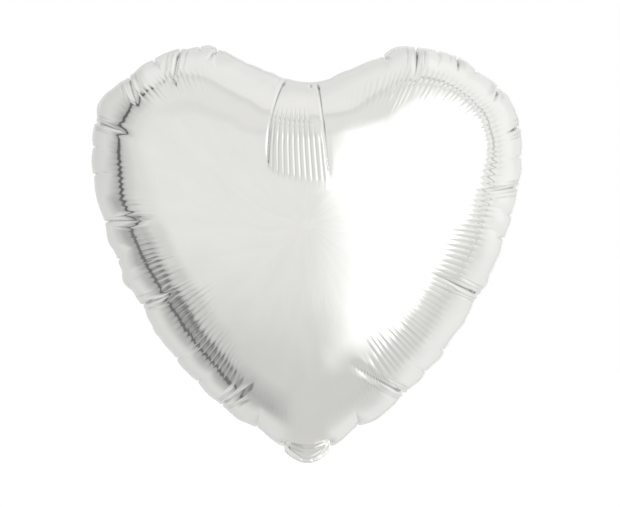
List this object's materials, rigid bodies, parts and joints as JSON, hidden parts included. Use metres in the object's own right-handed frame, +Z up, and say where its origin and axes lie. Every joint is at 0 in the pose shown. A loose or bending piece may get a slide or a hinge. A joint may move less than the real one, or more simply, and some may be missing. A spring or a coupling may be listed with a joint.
{
  "type": "heart-shaped foil balloon",
  "caption": "Inflated heart-shaped foil balloon: mirror-silver film panels welded round the edge, a flat neck at the tip, a tail folded up behind and a self-sealing film valve inside.",
  "frame": {"origin": "middle of the neck at the heart's tip, where a ribbon is tied, in the plane of the seam", "axes": "+Z up from the tip to the lobes, -Y out of the front panel, +X to the right when the front is seen"},
  "size_m": [0.36, 0.2094, 0.3429],
  "materials": {
    "foil": "mirror-silver metallised film, blown tight, crinkled along the weld",
    "foil_weld": "heat-welded metallised film, slightly duller than the panels",
    "valve_film": "clear, slightly milky polyethylene film"
  },
  "bodies": {
    "envelope": {"front_panel": "foil", "back_panel": "foil", "perimeter_weld": "foil_weld", "neck_front_film": "foil", "neck_back_film": "foil", "valve_throat_front": "valve_film", "valve_throat_back": "valve_film"},
    "tail": {"tail_front_film": "foil", "tail_back_film": "foil", "tail_side_welds": "foil_weld", "tail_valve_front": "valve_film", "tail_valve_back": "valve_film"},
    "front_lip": {"valve_front_lip": "valve_film"},
    "back_lip": {"valve_back_lip": "valve_film"}
  },
  "joints": [
    {"name": "tail_fold", "type": "hinge", "parent": "envelope", "child": "tail", "pos_m": [0, 0.001, -0.0115], "axis": [-1, 0, 0], "range_deg": [0, 116]},
    {"name": "front_lip_open", "type": "hinge", "parent": "envelope", "child": "front_lip", "pos_m": [0, -0.00025, 0.00815], "axis": [1, 0, 0], "range_deg": [0, 4], "stiffness_Nm_per_rad": 0.0005},
    {"name": "back_lip_open", "type": "hinge", "parent": "envelope", "child": "back_lip", "pos_m": [0, 0.00025, 0.00815], "axis": [-1, 0, 0], "range_deg": [0, 4], "stiffness_Nm_per_rad": 0.0005}
  ],
  "couplings": [
    {"joint": "back_lip_open", "follows": "front_lip_open", "ratio": 1}
  ]
}
